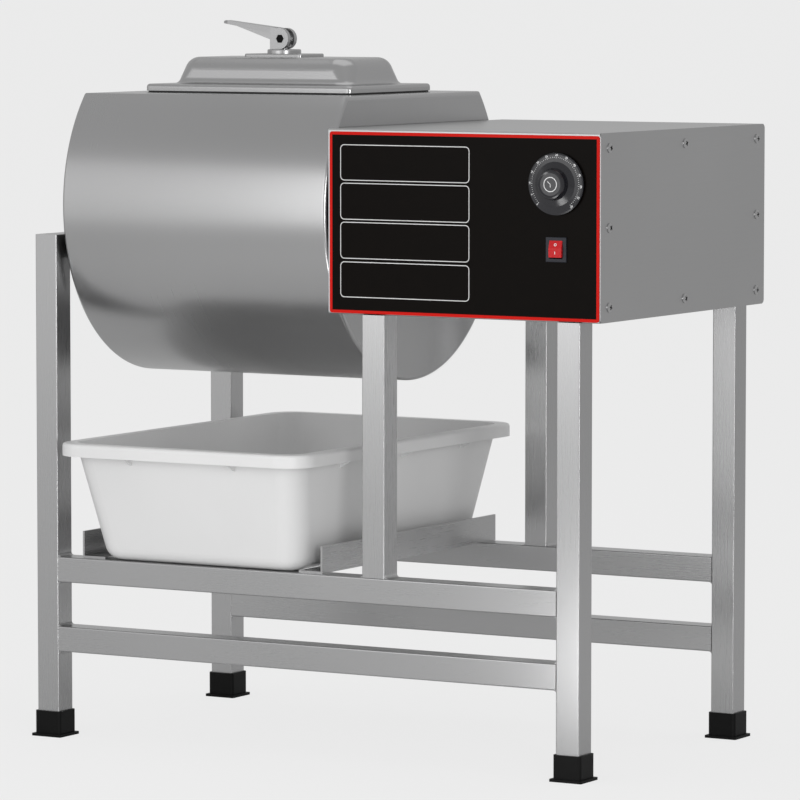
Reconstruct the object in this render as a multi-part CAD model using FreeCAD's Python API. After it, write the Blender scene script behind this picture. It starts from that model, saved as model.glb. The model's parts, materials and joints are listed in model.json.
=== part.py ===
import FreeCAD, Part
import math
import os

# Meat tumbler: a square-tube stand, a horizontal drum with a clamped hatch, a drive and control
# box, and a catch basin that slides between two guide bars.
# Everything is in millimetres. While it is built, X runs from the stand's left face, Y from its
# front face and Z from the floor; the export moves the origin to the middle of the footprint.

V = FreeCAD.Vector
X_AXIS, Y_AXIS, Z_AXIS = V(1, 0, 0), V(0, 1, 0), V(0, 0, 1)

# ---------------------------------------------------------------- driving dimensions

# stand
stand_length = 926.0          # over the outer faces of the legs, X
stand_margin = 4.0            # legs beyond the drum and the box, front and back
tube = 38.0                   # square tube, outside
tube_wall = 1.5
tube_corner = 2.0             # outside corner radius of the tube
lower_rail_z = 130.0          # underside of the lower rails
upper_rail_z = 235.0          # underside of the upper rails
middle_post_x = 568.0         # left face of the middle posts
bearing_seat_rise = 102.0     # bearing seats and left leg tops above the seat of the box
box_seat_z = 655.0            # top of the posts under the box

# feet
foot_sole = 4.0               # thickness under the tube
foot_wall = 3.5               # sleeve round the tube
foot_flange = 3.5             # flange beyond the sleeve
foot_height = 38.5

# guide bars for the basin
guide_leg_width = 40.0        # equal angle
guide_wall = 3.0
guide_front_y = 12.0          # front end of the bars
guide_back_overhang = 3.0     # bars beyond the back rail
guide_left_x = 75.0           # outer face of the left bar
guide_right_x = 494.0         # outer face of the right bar

# catch basin
basin_length = 660.0          # over the rim, Y
basin_width = 432.0           # over the rim, X
basin_height = 178.0
basin_wall = 3.0
basin_rim_width = 17.0        # from the wall to the rim's edge
basin_rim_drop = 19.0         # turned-down lip
basin_corner = 45.0           # plan radius at the rim
basin_floor_corner = 36.0     # plan radius of the floor
basin_side_taper = 26.0       # inward run of the long walls from the rim to the floor
basin_end_taper = 49.0        # the same, of the end walls
basin_floor_round = 26.0
basin_shift = 2.0             # to the right of the guides' middle
basin_rib_pitch = 180.0       # gussets under the rim, three to a long side and two to an end
basin_rib_drop = 12.0         # how far they show below the lip
basin_rib_sheet = 3.0
basin_seat_clearance = 0.3    # sliding floor above the rails

# drum
drum_diameter = 520.0
drum_length = 460.0
drum_sheet = 2.0
drum_flat_height = 167.5      # flat top above the drum's axis
drum_edge_round = 6.0         # pressed edge of the end caps
drum_cap_skirt = 14.0         # depth of an end cap, up to the weld
drum_side_gap = 7.0           # left cap to the stand's left tubes
baffle_count = 3
baffle_height = 50.0
baffle_sheet = 3.0
hub_diameter = 160.0
hub_thickness = 6.0
shaft_diameter = 30.0

# hatch mouth, lid and clamp
hatch_shift = 9.0             # hatch centre to the right of the drum's middle
mouth_length = 300.0          # clear opening, X
mouth_width = 176.0           # clear opening, Y
mouth_corner = 28.0
collar_wall = 3.0
collar_up = 7.0               # collar above the flat top
collar_down = 10.0            # collar below the flat top
bridge_width = 40.0
bridge_thickness = 8.0
bridge_nut_diameter = 28.0
bridge_nut_height = 14.0
lid_length = 362.0            # flange, X
lid_width = 239.0             # flange, Y
lid_corner = 8.0
lid_sheet = 2.0
lid_gap = 2.7                 # flange edge above the drum's flat top
lid_flange_height = 10.3
lid_edge_round = 5.0
dome_length = 307.0           # foot of the dome, X
dome_width = 160.0            # foot of the dome, Y
dome_foot_corner = 16.0
dome_top_corner = 42.0
dome_inset = 6.0             # foot of the wall to its top, each side
dome_height = 40.0
dome_foot_round = 11.0
dome_top_round = 23.0
gasket_width = 13.0
gasket_clearance = 0.3
clamp_shift = -7.5            # clamp centre from the hatch centre, X
clamp_plate_length = 102.0
clamp_plate_width = 70.0
clamp_plate_thickness = 5.0
clamp_washer_diameter = 51.0
clamp_washer_thickness = 6.5
rod_diameter = 10.0
rod_below_bridge = 4.0        # rod end under the bridge nut
cam_radius = 16.0             # rim of the lever's cheeks
cam_throw = 1.5               # what the cam gives back when the lever is raised
lever_cheek = 7.5             # thickness of one cheek
lever_pivot_diameter = 17.0
lever_length = 106.0          # pivot to tip
lever_rise = 7.0              # angle of the closed lever above level, degrees
lever_hex = 12.0              # socket in the pin's end, across flats
lever_tip_thickness = 5.0
lever_root_thickness = 8.5
lever_tip_width = 15.0
running_clearance = 0.05      # radial, shafts and pins that turn
side_clearance = 0.5          # each side of a piece that turns in a fork

# drive and control box
box_gap = 5.0                 # drum to the box's left wall
box_overhang = 30.0           # right face beyond the legs
box_height = 268.0
box_sheet = 1.5
box_fold_round = 2.5
box_flange = 36.0             # return flange that the side plate is screwed to
side_plate_thickness = 1.5
side_plate_corner = 7.0
cover_screw_inset = 26.5      # cover screws from the plate's front and back edges
cover_screw_inset_z = 21.5    # cover screws from its top and bottom edges
cover_screw_head = 14.0
cover_screw_head_height = 3.0
cover_screw_shank = 6.0
cover_screw_length = 12.0
panel_left_margin = 2.5
panel_right_margin = 1.5
panel_bottom_margin = 1.5
panel_top_margin = 4.0
panel_thickness = 0.8
panel_corner = 4.0

# timer and switch
timer_from_right = 69.0       # timer's axis from the box's right face
timer_rise = 195.5            # and above the box's underside
timer_shaft_diameter = 6.0
timer_body_width = 46.0
timer_body_depth = 38.0
knob_diameter = 88.0
knob_skirt_height = 4.5
knob_cap_diameter = 43.0
knob_height = 21.0
knob_panel_gap = 1.0
switch_from_right = 70.0
switch_rise = 102.7
switch_bezel_width = 33.0
switch_bezel_height = 35.5
switch_bezel_thickness = 2.0
switch_body_width = 26.0
switch_body_height = 29.5
switch_body_depth = 28.0
rocker_width = 20.4
rocker_height = 24.0
rocker_clearance = 0.5        # at its sides
rocker_end_clearance = 0.95   # at its ends, for the tilt
rocker_pin_diameter = 3.0
rocker_pin_reach = 1.4        # pin ends in the housing's walls
rocker_tilt = 7.0             # each way from level, degrees
rocker_swell = 3.2            # how far the rocker's middle stands out of the bezel

# bearings
bearing_centre_height = 42.9
bearing_base_length = 165.0
bearing_base_thickness = 15.0
bearing_base_width = 36.0
bearing_housing_radius = 39.0
bearing_ring_radius = 22.0
bearing_bolt_spacing = 121.0
bearing_bolt_diameter = 12.0
nut_thickness = 9.0

# worm gearmotor with a hollow output shaft, on the drum's own axis
reducer_gap = 26.0            # right bearing to the reducer
reducer_length = 74.0         # along the drum's axis
reducer_width = 116.0         # front to back
reducer_above = 62.0          # above the output axis
reducer_below = 104.0         # below it, down to the feet
reducer_corner = 14.0
worm_drop = 50.0              # worm axis under the output axis
output_flange_diameter = 84.0
output_flange_length = 5.0
sleeve_wall = 6.0             # hollow output shaft
sleeve_overhang = 4.0         # beyond the housing, each end
motor_diameter = 96.0
motor_length = 112.0
motor_flange_diameter = 112.0
motor_flange_thickness = 9.0
motor_fin_count = 20
motor_fin_height = 4.0
cowl_length = 34.0
cowl_sheet = 1.5
terminal_box_size = 58.0
terminal_box_height = 30.0
stand_sheet = 4.0             # folded bracket under the reducer
stand_overhang = 22.0         # feet of the bracket beyond the reducer, front and back
capacitor_diameter = 40.0
capacitor_length = 78.0
capacitor_gap = 70.0          # right of the reducer
capacitor_offset = 60.0       # in front of the drum's axis

# cable gland in the back wall
gland_from_right = 56.0
gland_rise = 35.0
gland_diameter = 22.0
gland_bore = 8.0
gland_length = 30.0

# ---------------------------------------------------------------- derived places

stand_depth = drum_diameter + 2 * stand_margin
box_depth = drum_diameter
axis_y = stand_depth / 2
left_leg_top = box_seat_z + bearing_seat_rise
axis_z = left_leg_top + bearing_centre_height
drum_left = tube + drum_side_gap
drum_right = drum_left + drum_length
drum_radius = drum_diameter / 2
flat_top = axis_z + drum_flat_height
hatch_x = (drum_left + drum_right) / 2 + hatch_shift
clamp_x = hatch_x + clamp_shift
lid_flange_bottom = flat_top + lid_gap
lid_flange_top = lid_flange_bottom + lid_flange_height
lid_top = lid_flange_top + dome_height
washer_top = lid_top + clamp_plate_thickness + clamp_washer_thickness
pivot_z = washer_top + cam_radius
fork_gap = rod_diameter + 2 * side_clearance
fork_width = fork_gap + 2 * lever_cheek
upper_rail_top = upper_rail_z + tube
basin_floor = upper_rail_top + basin_seat_clearance
box_left_x = drum_right + box_gap
box_right_x = stand_length + box_overhang
shell_right_x = box_right_x - side_plate_thickness
box_front_y = (stand_depth - box_depth) / 2
box_back_y = box_front_y + box_depth
box_top_z = box_seat_z + box_height
panel_width = box_right_x - box_left_x - panel_left_margin - panel_right_margin
panel_height = box_height - panel_bottom_margin - panel_top_margin
timer_x = box_right_x - timer_from_right
timer_z = box_seat_z + timer_rise
switch_x = box_right_x - switch_from_right
switch_z = box_seat_z + switch_rise
gland_x = box_right_x - gland_from_right
gland_z = box_seat_z + gland_rise
cross_tube_x = middle_post_x
bearing_left_x = tube / 2
bearing_right_x = cross_tube_x + tube / 2
basin_x = (guide_left_x + guide_right_x) / 2 + basin_shift

right_extent = box_right_x + cover_screw_head_height
left_extent = -(foot_wall + foot_flange)
origin = V((left_extent + right_extent) / 2, axis_y, 0)


# ---------------------------------------------------------------- helpers

def block(low, high):
    size = V(*high) - V(*low)
    return Part.makeBox(size.x, size.y, size.z, V(*low))


def cylinder(radius, start, direction, length):
    return Part.makeCylinder(radius, length, V(*start), direction)


def fuse(shapes):
    result = shapes[0].multiFuse(shapes[1:])
    return result.removeSplitter()


def rounded_rectangle(width, height, radius):
    """Closed wire in the XY plane, centred on the origin."""
    w, h, r = width / 2, height / 2, radius
    corners = [(w - r, h - r, 0), (-w + r, h - r, 90), (-w + r, -h + r, 180), (w - r, -h + r, 270)]
    edges, last, first = [], None, None
    for cx, cy, start in corners:
        centre = V(cx, cy, 0)
        points = [centre + V(r * math.cos(math.radians(start + turn)),
                             r * math.sin(math.radians(start + turn)), 0) for turn in (0, 45, 90)]
        if last:
            edges.append(Part.LineSegment(last, points[0]).toShape())
        first = first or points[0]
        edges.append(Part.Arc(*points).toShape())
        last = points[2]
    edges.append(Part.LineSegment(last, first).toShape())
    return Part.Wire(edges)


def rounded_slab(width, height, radius, thickness, centre):
    """Rounded rectangle in plan, standing on centre."""
    slab = Part.Face(rounded_rectangle(width, height, radius)).extrude(Z_AXIS * thickness)
    slab.translate(V(*centre))
    return slab


def turned(shape, axis, angle):
    shape.rotate(V(0, 0, 0), axis, angle)
    return shape


def edges_at_height(shape, height, tolerance=0.01):
    found = []
    for edge in shape.Edges:
        box = edge.BoundBox
        if abs(box.ZMin - height) < tolerance and abs(box.ZMax - height) < tolerance:
            found.append(edge)
    return found


def square_tube(start, direction, length):
    """Square tube with rounded corners; start is its centre line's first point."""
    outer = Part.Face(rounded_rectangle(tube, tube, tube_corner))
    bore = tube - 2 * tube_wall
    inner = Part.Face(rounded_rectangle(bore, bore, tube_corner - tube_wall))
    profile = outer.cut(inner)
    shape = profile.extrude(Z_AXIS * length)
    if direction == X_AXIS:
        shape = turned(shape, Y_AXIS, 90)
    elif direction == Y_AXIS:
        shape = turned(shape, X_AXIS, -90)
    shape.translate(V(*start))
    return shape


def revolved(points, axis_start, axis_direction):
    """Solid of revolution from points (along the axis, radius), around an X or Y axis."""
    across = Z_AXIS
    corners = [V(*axis_start) + axis_direction * along + across * radius for along, radius in points]
    wire = Part.makePolygon(corners + corners[:1])
    return Part.Face(wire).revolve(V(*axis_start), axis_direction, 360)


# ---------------------------------------------------------------- stand

def leg_places():
    return {
        "front_left": (0, 0, left_leg_top),
        "back_left": (0, stand_depth - tube, left_leg_top),
        "front_right": (stand_length - tube, 0, box_seat_z),
        "back_right": (stand_length - tube, stand_depth - tube, box_seat_z),
    }


def make_leg(x, y, top):
    leg = square_tube((x + tube / 2, y + tube / 2, foot_sole), Z_AXIS, top - foot_sole)
    cap = rounded_slab(tube, tube, tube_corner, tube_wall, (x + tube / 2, y + tube / 2, top - tube_wall))
    return fuse([leg, cap])


def make_foot(x, y):
    centre = (x + tube / 2, y + tube / 2, 0)
    sleeve_width = tube + 2 * foot_wall
    flange_width = sleeve_width + 2 * foot_flange
    flange = rounded_slab(flange_width, flange_width, tube_corner, foot_sole, centre)
    sleeve = rounded_slab(sleeve_width, sleeve_width, tube_corner + foot_wall, foot_height, centre)
    socket = rounded_slab(tube, tube, tube_corner, foot_height, (centre[0], centre[1], foot_sole))
    return fuse([flange, sleeve]).cut(socket)


def make_rail(y, z):
    return square_tube((tube, y + tube / 2, z + tube / 2), X_AXIS, stand_length - 2 * tube)


def make_middle_post(y):
    return square_tube((middle_post_x + tube / 2, y + tube / 2, upper_rail_top), Z_AXIS,
                       box_seat_z - upper_rail_top)


def bolt_places(x):
    return [(x, axis_y + side * bearing_bolt_spacing / 2) for side in (-1, 1)]


def make_cross_tube(x):
    """Tube between two legs that carries a bearing, drilled for its bolts."""
    cross = square_tube((x, tube, left_leg_top - tube / 2), Y_AXIS, stand_depth - 2 * tube)
    for bolt_x, bolt_y in bolt_places(x):
        cross = cross.cut(cylinder(bearing_bolt_diameter / 2, (bolt_x, bolt_y, left_leg_top - tube),
                                   Z_AXIS, tube))
    return cross


def make_guide(outer_x, side):
    """Angle bar on the upper rails; side is the way its flange points."""
    length = stand_depth + guide_back_overhang - guide_front_y
    low = upper_rail_top
    web_x = sorted((outer_x, outer_x + side * guide_wall))
    flange_x = sorted((outer_x, outer_x + side * guide_leg_width))
    web = block((web_x[0], guide_front_y, low), (web_x[1], guide_front_y + length, low + guide_leg_width))
    flange = block((flange_x[0], guide_front_y, low),
                   (flange_x[1], guide_front_y + length, low + guide_wall))
    return fuse([web, flange])


# ---------------------------------------------------------------- basin

def basin_cavity(offset, floor_z):
    """Tapered body of the basin, drawn in by offset from its outer surface."""
    top_z = basin_floor + basin_height
    wall_x = basin_width - 2 * basin_rim_width - 2 * offset
    wall_y = basin_length - 2 * basin_rim_width - 2 * offset
    top = rounded_rectangle(wall_x, wall_y, basin_corner - basin_rim_width / 2 - offset)
    bottom = rounded_rectangle(wall_x - 2 * basin_side_taper, wall_y - 2 * basin_end_taper,
                               basin_floor_corner - offset)
    top.translate(V(basin_x, axis_y, top_z))
    bottom.translate(V(basin_x, axis_y, floor_z))
    body = Part.makeLoft([bottom, top], True)
    return body.makeFillet(basin_floor_round - offset, edges_at_height(body, floor_z))


def make_basin():
    floor_z = basin_floor
    top_z = floor_z + basin_height
    rim_z = top_z - basin_rim_drop
    rim = rounded_slab(basin_width, basin_length, basin_corner, basin_rim_drop,
                       (basin_x, axis_y, rim_z))
    rim = rim.makeFillet(basin_wall * 1.6, edges_at_height(rim, top_z))
    hollow = rounded_slab(basin_width - 2 * basin_wall, basin_length - 2 * basin_wall,
                          basin_corner - basin_wall, basin_rim_drop - basin_wall,
                          (basin_x, axis_y, rim_z))
    rim = rim.cut(hollow)
    outer = basin_cavity(0, floor_z)
    inner = basin_cavity(basin_wall, floor_z + basin_wall)
    return fuse([rim, outer] + basin_ribs(rim_z)).cut(inner)


def basin_ribs(rim_z):
    """Gussets between the rim's lip and the wall, on all four sides."""
    ribs = []
    top = rim_z + basin_rim_drop - basin_wall / 2
    low = rim_z - basin_rib_drop
    sides = [(0, basin_width / 2, basin_side_taper, (-1.0, 0.0, 1.0)),
             (90, basin_length / 2, basin_end_taper, (-0.5, 0.5)),
             (180, basin_width / 2, basin_side_taper, (-1.0, 0.0, 1.0)),
             (270, basin_length / 2, basin_end_taper, (-0.5, 0.5))]
    for turn, half, taper, places in sides:
        edge = half - basin_wall / 2
        wall = half - basin_rim_width - basin_wall / 2
        lean = taper * (basin_rim_drop + basin_rib_drop) / basin_height
        corners = [V(wall - lean, 0, low), V(wall - lean, 0, top), V(edge, 0, top), V(edge, 0, rim_z)]
        for place in places:
            rib = Part.Face(Part.makePolygon(corners + corners[:1])).extrude(Y_AXIS * basin_rib_sheet)
            rib.translate(V(0, place * basin_rib_pitch - basin_rib_sheet / 2, 0))
            rib = turned(rib, Z_AXIS, turn)
            rib.translate(V(basin_x, axis_y, 0))
            ribs.append(rib)
    return ribs


# ---------------------------------------------------------------- drum

def drum_outline(offset):
    """Circle with a flat top, as a wire in the plane X = 0, drawn in by offset."""
    radius = drum_radius - offset
    height = drum_flat_height - offset
    half_chord = math.sqrt(radius ** 2 - height ** 2)
    right = V(0, axis_y + half_chord, axis_z + height)
    left = V(0, axis_y - half_chord, axis_z + height)
    bottom = V(0, axis_y, axis_z - radius)
    return Part.Wire([Part.Arc(right, bottom, left).toShape(), Part.LineSegment(left, right).toShape()])


def drum_form(offset):
    start, end = drum_left + offset, drum_right - offset
    form = Part.Face(drum_outline(offset)).extrude(X_AXIS * (end - start))
    form.translate(V(start, 0, 0))
    ends = [edge for edge in form.Edges if edge.BoundBox.XLength < 0.01]
    return form.makeFillet(drum_edge_round - offset, ends)


def mouth_block(extra, low, high):
    return rounded_slab(mouth_length + 2 * extra, mouth_width + 2 * extra, mouth_corner + extra,
                        high - low, (hatch_x, axis_y, low))


def make_drum_pieces():
    """Barrel and the two pressed end caps, cut from one closed shell at the welds."""
    shell = drum_form(0).cut(drum_form(drum_sheet))
    weld_left = drum_left + drum_cap_skirt
    weld_right = drum_right - drum_cap_skirt
    reach = drum_diameter
    low, high = axis_z - reach, axis_z + reach
    front, back = axis_y - reach, axis_y + reach
    middle = block((weld_left, front, low), (weld_right, back, high))
    barrel = shell.common(middle)
    barrel = barrel.cut(mouth_block(collar_wall, flat_top - drum_sheet * 2, flat_top + drum_sheet))
    bore = cylinder(shaft_diameter / 2, (drum_left - drum_sheet, axis_y, axis_z), X_AXIS,
                    drum_length + 2 * drum_sheet)
    left = shell.common(block((drum_left - reach, front, low), (weld_left, back, high))).cut(bore)
    right = shell.common(block((weld_right, front, low), (drum_right + reach, back, high))).cut(bore)
    return barrel, left, right


def make_baffle(index):
    """Lifting plate along the barrel's inner wall, with a folded edge."""
    inner_radius = drum_radius - drum_sheet
    start = drum_left + drum_cap_skirt
    length = drum_length - 2 * drum_cap_skirt
    top = inner_radius - baffle_height
    seat = math.sqrt(inner_radius ** 2 - (baffle_sheet / 2) ** 2)
    lip = baffle_height * 0.4
    plate = block((start, -baffle_sheet / 2, -seat), (start + length, baffle_sheet / 2, -top))
    fold = block((start, -baffle_sheet / 2, -top - baffle_sheet), (start + length, lip, -top))
    baffle = turned(fuse([plate, fold]), X_AXIS, index * 360 / baffle_count)
    baffle.translate(V(0, axis_y, axis_z))
    return baffle


def make_left_shaft():
    """Stub shaft with the hub disc that backs the left cap."""
    face = drum_left + drum_sheet
    disc = cylinder(hub_diameter / 2, (face, axis_y, axis_z), X_AXIS, hub_thickness)
    shaft = cylinder(shaft_diameter / 2, (0, axis_y, axis_z), X_AXIS, face + hub_thickness)
    return fuse([disc, shaft])


def make_right_shaft():
    """Drive shaft, from the right hub disc through the box wall through the hollow output shaft."""
    face = drum_right - drum_sheet
    disc = cylinder(hub_diameter / 2, (face - hub_thickness, axis_y, axis_z), X_AXIS, hub_thickness)
    end = reducer_end() + sleeve_overhang
    shaft = cylinder(shaft_diameter / 2, (face - hub_thickness, axis_y, axis_z), X_AXIS,
                     end - face + hub_thickness)
    return fuse([disc, shaft])


def make_collar():
    outer = mouth_block(collar_wall, flat_top - collar_down, flat_top + collar_up)
    return outer.cut(mouth_block(0, flat_top - collar_down, flat_top + collar_up))


def make_bridge():
    """Bar across the mouth with the nut that the clamp rod screws into."""
    low = flat_top - collar_down
    bar = block((clamp_x - bridge_width / 2, axis_y - mouth_width / 2, low),
                (clamp_x + bridge_width / 2, axis_y + mouth_width / 2, low + bridge_thickness))
    nut = cylinder(bridge_nut_diameter / 2, (clamp_x, axis_y, low - bridge_nut_height), Z_AXIS,
                   bridge_nut_height)
    bore = cylinder(rod_diameter / 2 + running_clearance, (clamp_x, axis_y, low - bridge_nut_height),
                    Z_AXIS, bridge_nut_height + bridge_thickness)
    return fuse([bar, nut]).cut(bore)


# ---------------------------------------------------------------- lid

def lid_form(offset):
    """Outer surface of the pressed lid, drawn in by offset: flange block and flared dome."""
    flange = rounded_slab(lid_length - 2 * offset, lid_width - 2 * offset, lid_corner - offset,
                          lid_flange_height - offset, (hatch_x, axis_y, lid_flange_bottom))
    flange_top = lid_flange_top - offset
    flange = flange.makeFillet(lid_edge_round - offset, edges_at_height(flange, flange_top))
    foot = rounded_rectangle(dome_length - 2 * offset, dome_width - 2 * offset,
                             dome_foot_corner - offset)
    crown = rounded_rectangle(dome_length - 2 * dome_inset - 2 * offset,
                              dome_width - 2 * dome_inset - 2 * offset, dome_top_corner - offset)
    foot.translate(V(hatch_x, axis_y, flange_top))
    crown.translate(V(hatch_x, axis_y, lid_top - offset))
    dome = Part.makeLoft([foot, crown], True)
    dome = dome.makeFillet(dome_top_round - offset, edges_at_height(dome, lid_top - offset))
    return flange.fuse(dome), flange_top


def make_lid():
    outer, outer_top = lid_form(0)
    inner, inner_top = lid_form(lid_sheet)
    outer = round_dome_foot(outer, outer_top, dome_foot_round)
    inner = round_dome_foot(inner, inner_top, dome_foot_round + lid_sheet)
    shell = outer.cut(inner)
    return shell.cut(rod_hole(lid_top - dome_top_round, lid_top))


def round_dome_foot(form, height, radius):
    """Concave round where the dome leaves the flange."""
    centre = V(hatch_x, axis_y, height)
    foot = [edge for edge in edges_at_height(form, height)
            if abs(edge.CenterOfMass.x - centre.x) <= dome_length / 2 + 1
            and abs(edge.CenterOfMass.y - centre.y) <= dome_width / 2 + 1]
    return form.makeFillet(radius, foot)


def rod_hole(low, high):
    return cylinder(rod_diameter / 2 + side_clearance, (clamp_x, axis_y, low), Z_AXIS, high - low)


def make_gasket():
    """Seal ring inside the lid's flange, just clear of the drum's flat top."""
    bottom = flat_top + gasket_clearance
    height = lid_flange_top - lid_sheet - bottom
    outer_length = lid_length - 2 * lid_sheet - 2 * gasket_clearance
    outer_width = lid_width - 2 * lid_sheet - 2 * gasket_clearance
    corner = lid_corner - lid_sheet
    ring = rounded_slab(outer_length, outer_width, corner, height, (hatch_x, axis_y, bottom))
    shoulder = rounded_slab(outer_length + 2 * gasket_clearance, outer_width + 2 * gasket_clearance,
                            corner, lid_edge_round, (hatch_x, axis_y, bottom + height - lid_edge_round))
    trim = rounded_slab(outer_length - 2 * lid_edge_round, outer_width - 2 * lid_edge_round, corner,
                        lid_edge_round, (hatch_x, axis_y, bottom + height - lid_edge_round))
    opening = rounded_slab(outer_length - 2 * gasket_width, outer_width - 2 * gasket_width,
                           mouth_corner, height, (hatch_x, axis_y, bottom))
    return ring.cut(shoulder.cut(trim)).cut(opening)


def make_clamp_plate():
    plate = rounded_slab(clamp_plate_length, clamp_plate_width, 6.0, clamp_plate_thickness,
                         (clamp_x, axis_y, lid_top))
    top = lid_top + clamp_plate_thickness
    plate = plate.makeFillet(clamp_plate_thickness * 0.4, edges_at_height(plate, top))
    return plate.cut(rod_hole(lid_top, top))


def make_clamp_washer():
    low = lid_top + clamp_plate_thickness
    washer = cylinder(clamp_washer_diameter / 2, (clamp_x, axis_y, low), Z_AXIS,
                      clamp_washer_thickness)
    washer = washer.makeFillet(clamp_washer_thickness * 0.3, edges_at_height(washer, washer_top))
    return washer.cut(rod_hole(low, washer_top))


def make_clamp_rod():
    """Threaded rod with the cross pin that the lever turns on."""
    low = flat_top - collar_down - bridge_nut_height - rod_below_bridge
    rod = cylinder(rod_diameter / 2, (clamp_x, axis_y, low), Z_AXIS, pivot_z - low)
    pin = cylinder(lever_pivot_diameter / 2, (clamp_x, axis_y - fork_width / 2, pivot_z), Y_AXIS,
                   fork_width)
    return fuse([rod, pin]).cut(hex_socket())


def hex_socket():
    """Hexagon socket in the pin's front end."""
    corner = lever_hex / math.sqrt(3)
    corners = [V(clamp_x + corner * math.cos(math.radians(60 * k)), axis_y - fork_width / 2,
                 pivot_z + corner * math.sin(math.radians(60 * k))) for k in range(6)]
    return Part.Face(Part.makePolygon(corners + corners[:1])).extrude(Y_AXIS * lever_cheek * 0.8)


def lever_local(along, up, y=0.0):
    return V(clamp_x - along, axis_y + y, pivot_z + up)


def make_lever():
    """Forked cam lever: two cheeks with a cam rim, and an arm with a rib underneath."""
    # The cam's centre lies cam_throw beside the pivot, so the rim under it shrinks as it is raised.
    rim = cylinder(cam_radius, (clamp_x - cam_throw, axis_y - fork_width / 2, pivot_z), Y_AXIS,
                   fork_width)
    heel_x = clamp_x - cam_throw - cam_radius
    heel = block((heel_x, axis_y - fork_width / 2, pivot_z - cam_radius),
                 (clamp_x - cam_throw, axis_y + fork_width / 2, pivot_z))
    cheeks = fuse([rim, heel, make_lever_arm()])
    slot = block((heel_x + cam_throw, axis_y - fork_gap / 2, pivot_z - 2 * cam_radius),
                 (clamp_x + 2 * cam_radius, axis_y + fork_gap / 2, pivot_z + 2 * cam_radius))
    bore = cylinder(lever_pivot_diameter / 2 + running_clearance,
                    (clamp_x, axis_y - fork_width, pivot_z), Y_AXIS, 2 * fork_width)
    return cheeks.cut(slot).cut(bore)


def make_lever_arm():
    """Arm that narrows and thins towards its tip, before it is raised to its closed angle."""
    root = 6.0
    top = cam_radius - 1.0
    side_profile = [lever_local(root, top), lever_local(lever_length - 4, top),
                    lever_local(lever_length, top - 1.5),
                    lever_local(lever_length, top - lever_tip_thickness),
                    lever_local(root, top - lever_root_thickness)]
    plan_half = [(root, fork_width / 2), (cam_radius + 3, fork_width / 2),
                 (lever_length - 8, lever_tip_width / 2 + 1), (lever_length, lever_tip_width / 2 - 2)]
    side = Part.Face(Part.makePolygon(side_profile + side_profile[:1])).extrude(Y_AXIS * fork_width)
    side.translate(V(0, -fork_width / 2, 0))
    plan = [lever_local(along, -cam_radius, -half) for along, half in plan_half]
    plan += [lever_local(along, -cam_radius, half) for along, half in reversed(plan_half)]
    plan_form = Part.Face(Part.makePolygon(plan + plan[:1])).extrude(Z_AXIS * 3 * cam_radius)
    blade = side.common(plan_form)
    rib_profile = [lever_local(root, top - 2), lever_local(lever_length * 0.93, top - 3),
                   lever_local(root, -cam_radius * 0.45)]
    rib = Part.Face(Part.makePolygon(rib_profile + rib_profile[:1])).extrude(Y_AXIS * fork_gap)
    rib.translate(V(0, -fork_gap / 2, 0))
    arm = fuse([blade, rib])
    arm.rotate(V(clamp_x, axis_y, pivot_z), Y_AXIS, lever_rise)
    return arm


# ---------------------------------------------------------------- bearings

def make_bearing(x):
    """Cast pillow block with its inner ring, on a cross tube."""
    base_low = left_leg_top
    half_base = bearing_base_length / 2
    half_width = bearing_base_width / 2
    base = rounded_slab(bearing_base_width, bearing_base_length, bearing_base_width * 0.3,
                        bearing_base_thickness, (x, axis_y, base_low))
    neck = block((x - half_width * 0.8, axis_y - bearing_housing_radius, base_low),
                 (x + half_width * 0.8, axis_y + bearing_housing_radius, axis_z))
    housing = cylinder(bearing_housing_radius, (x - half_width * 0.8, axis_y, axis_z), X_AXIS,
                       bearing_base_width * 0.8)
    ring = cylinder(bearing_ring_radius, (x - half_width, axis_y, axis_z), X_AXIS, bearing_base_width)
    bearing = fuse([base, neck, housing, ring])
    bearing = bearing.cut(cylinder(shaft_diameter / 2 + running_clearance,
                                   (x - half_base, axis_y, axis_z), X_AXIS, bearing_base_length))
    for bolt_x, bolt_y in bolt_places(x):
        bearing = bearing.cut(cylinder(bearing_bolt_diameter / 2, (bolt_x, bolt_y, base_low), Z_AXIS,
                                       bearing_base_thickness))
    return bearing


def hexagon(width_across_flats, height, centre):
    radius = width_across_flats / math.sqrt(3)
    corners = [V(*centre) + V(radius * math.cos(math.radians(60 * k)),
                              radius * math.sin(math.radians(60 * k)), 0) for k in range(6)]
    return Part.Face(Part.makePolygon(corners + corners[:1])).extrude(Z_AXIS * height)


def make_bearing_bolts():
    bolts = []
    flats = bearing_bolt_diameter * 1.5
    seat = left_leg_top + bearing_base_thickness
    end = left_leg_top - tube - nut_thickness
    for x in (bearing_left_x, bearing_right_x):
        for bolt_x, bolt_y in bolt_places(x):
            shank = cylinder(bearing_bolt_diameter / 2, (bolt_x, bolt_y, end), Z_AXIS, seat - end)
            head = hexagon(flats, nut_thickness * 0.85, (bolt_x, bolt_y, seat))
            nut = hexagon(flats, nut_thickness, (bolt_x, bolt_y, end))
            bolts.append(fuse([shank, head, nut]))
    return Part.makeCompound(bolts)


# ---------------------------------------------------------------- drive and control box

def cover_screw_places():
    """(y, z) of the cover screws: four corners and the middles of three sides."""
    front, back = box_front_y + cover_screw_inset, box_back_y - cover_screw_inset
    low, high = box_seat_z + cover_screw_inset_z, box_top_z - cover_screw_inset_z
    middle_z = (low + high) / 2
    return [(front, low), (axis_y, low), (back, low), (front, middle_z), (back, middle_z),
            (front, high), (axis_y, high), (back, high)]


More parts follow.
